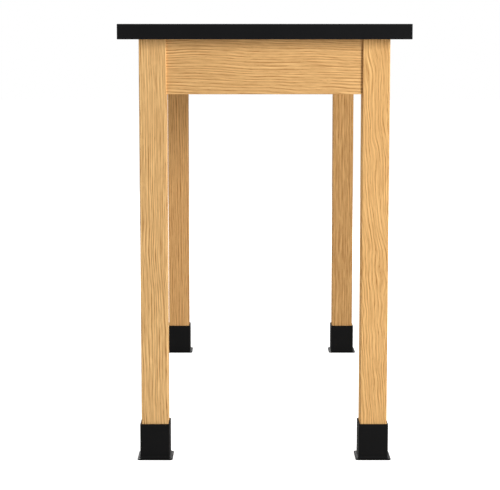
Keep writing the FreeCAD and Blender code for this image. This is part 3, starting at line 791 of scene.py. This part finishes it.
def make_stud(node):
    """A levelling stud in place of a CAD node: its swivel pin, a chamfered hexagon and a thread."""
    low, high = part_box(node)
    length = high.z - low.z
    hex_end = PIN_LENGTH + HEX_HEIGHT
    face = HEX_ACROSS / 2 - HEX_CHAMFER / 2
    corner = HEX_ACROSS / math.sqrt(3)
    hexagon = [(face, PIN_LENGTH), (corner, PIN_LENGTH + HEX_CHAMFER),
               (corner, hex_end - HEX_CHAMFER), (face, hex_end)]
    screw = thread(hex_end, length - STUD_CHAMFER, STUD_RADIUS, STUD_ROOT_RADIUS, STUD_PITCH)
    profile = [(0, 0), (STUD_PIN_RADIUS, 0), (STUD_PIN_RADIUS, PIN_LENGTH), *hexagon, *screw,
               (STUD_ROOT_RADIUS, length), (0, length)]
    mesh = lathe_mesh("threaded_" + node, profile, HEX_ACROSS)
    mesh.transform(Matrix.Translation(((low.x + high.x) / 2, (low.y + high.y) / 2, low.z)))
    mesh.materials.append(zinc_plate)
    piece = shown("threaded_" + node, mesh)
    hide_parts(node)
    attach(piece, node)


def box_round(*nodes):
    """The box round several CAD nodes."""
    lows, highs = zip(*[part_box(node) for node in nodes])
    low = Vector([min(corner[axis] for corner in lows) for axis in range(3)])
    high = Vector([max(corner[axis] for corner in highs) for axis in range(3)])
    return low, high


def boot_box(node):
    """The box round a boot's walls, whose edges are rubbed: its rim, down to its foot, without the flange."""
    low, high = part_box(node)
    rim = [vert.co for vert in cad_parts[node].data.vertices if high.z - vert.co.z < WELD]
    wall_low = [min(point[axis] for point in rim) for axis in (0, 1)]
    wall_high = [max(point[axis] for point in rim) for axis in (0, 1)]
    return Vector((*wall_low, low.z)), Vector((*wall_high, high.z))


SET_OUT = make_set_out()

# Finishes of the CAD nodes
sides = ("front", "rear", "left", "right")
corners = ("front_left", "front_right", "rear_left", "rear_right")
bands = ["edge_band_" + side for side in sides]
top_box = box_round(*bands, "top_laminate")
zinc_plate = zinc()
for board_name in OAK_BOARDS:
    dress(oak_board(board_name), board_name)
dress(pebbled_skin("black_laminate", top_box), "top_laminate")
dress(pebbled_skin("black_edge_band", top_box), *bands)
dress(pebbled_skin("backer_sheet"), "top_backer_sheet")
dress(pebbled_skin("board_core"), "top_core")
dress(pebbled_skin("nylon"), *["leveller_foot_" + corner for corner in corners])
dress(zinc_plate, *["corner_bracket_" + corner for corner in corners])
dress(zinc_plate, "hanger_washers", "hanger_nuts", "top_clips", "insert_nuts")
for corner in corners:
    boot = "boot_" + corner
    rubber = pebbled_skin("black_rubber", boot_box(boot), "_" + corner)
    polish_flange(rubber)
    dress(rubber, boot)

# Fasteners in place of the plain ones
for corner in corners:
    make_stud("leveller_stud_" + corner)
wood_screw = make_wood_screw()
hanger_bolt = make_hanger_bolt()
set_out("bracket_wood_screws", "bracket_screws", wood_screw, zinc_plate)
set_out("clip_wood_screws", "clip_screws", wood_screw, zinc_plate)
set_out("threaded_hanger_bolts", "hanger_bolts", hanger_bolt, zinc_plate)
bpy.data.objects.remove(wood_screw)
bpy.data.objects.remove(hanger_bolt)


# Studio
def seen_white(tree):
    """1 for what the camera sees straight or in a gloss, and 0 for light that falls on the table."""
    path = put(tree, "ShaderNodeLightPath").outputs
    return sums(tree, "MAXIMUM", path["Is Camera Ray"], path["Is Glossy Ray"])


def make_world():
    """Soft white light from all round, and a white ground behind the table."""
    world = bpy.data.worlds.new("studio")
    bpy.context.scene.world = world
    world.use_nodes = True
    tree = world.node_tree
    tree.nodes.clear()
    level = sums(tree, "MULTIPLY_ADD", seen_white(tree), 1.0 - WORLD_FILL, WORLD_FILL)
    light = put(tree, "ShaderNodeBackground", {"Color": WHITE, "Strength": level})
    put(tree, "ShaderNodeOutputWorld", {"Surface": light.outputs[0]})


def make_floor():
    """A pale floor that takes the table's shadow, and that can be seen through from below."""
    half = FLOOR_SIZE / 2
    mesh = bpy.data.meshes.new("floor")
    outline = [(-half, -half, 0), (half, -half, 0), (half, half, 0), (-half, half, 0)]
    mesh.from_pydata(outline, [], [(0, 1, 2, 3)])
    floor = shown("floor", mesh)
    material = bpy.data.materials.new("pale_floor")
    material.use_nodes = True
    tree = material.node_tree
    tree.nodes.clear()
    matt = put(tree, "ShaderNodeBsdfDiffuse", {"Color": (FLOOR_TINT, FLOOR_TINT, FLOOR_TINT, 1)}).outputs[0]
    glow = sums(tree, "MULTIPLY", seen_white(tree), FLOOR_GLOW)
    glow = put(tree, "ShaderNodeEmission", {"Color": WHITE, "Strength": glow}).outputs[0]
    lit = put(tree, "ShaderNodeAddShader", {0: matt, 1: glow}).outputs[0]
    clear = put(tree, "ShaderNodeBsdfTransparent").outputs[0]
    below = put(tree, "ShaderNodeNewGeometry").outputs["Backfacing"]
    surface = put(tree, "ShaderNodeMixShader", {0: below, 1: lit, 2: clear}).outputs[0]
    put(tree, "ShaderNodeOutputMaterial", {"Surface": surface})
    mesh.materials.append(material)


def make_lamps():
    """Soft lamps, all turned to the table."""
    for name, lamp in LAMPS.items():
        light = bpy.data.lights.new(name, "AREA")
        light.shape = "RECTANGLE"
        light.size = lamp["width"]
        light.size_y = lamp["height"]
        light.energy = lamp["watts"]
        made = bpy.data.objects.new(name, light)
        made.location = lamp["place"]
        made.rotation_euler = (LAMP_TARGET - made.location).to_track_quat("-Z", "Y").to_euler()
        bpy.context.scene.collection.objects.link(made)


def make_camera():
    """The camera at the photograph's place, looking along the table and a little down."""
    camera = bpy.data.cameras.new("camera")
    camera.sensor_fit = "HORIZONTAL"
    camera.sensor_width = SENSOR_MM
    camera.lens = SENSOR_MM * FOCAL_PIXELS / PHOTO_WIDTH_PIXELS
    made = bpy.data.objects.new("camera", camera)
    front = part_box("leg_front_left")[0].y
    made.location = (CAMERA_SIDE, front - CAMERA_DISTANCE, CAMERA_HEIGHT)
    made.rotation_euler = (math.pi / 2 - CAMERA_PITCH, 0.0, 0.0)
    bpy.context.scene.collection.objects.link(made)
    bpy.context.scene.camera = made


make_world()
make_floor()
make_lamps()
make_camera()
bpy.context.scene.view_settings.view_transform = "Standard"
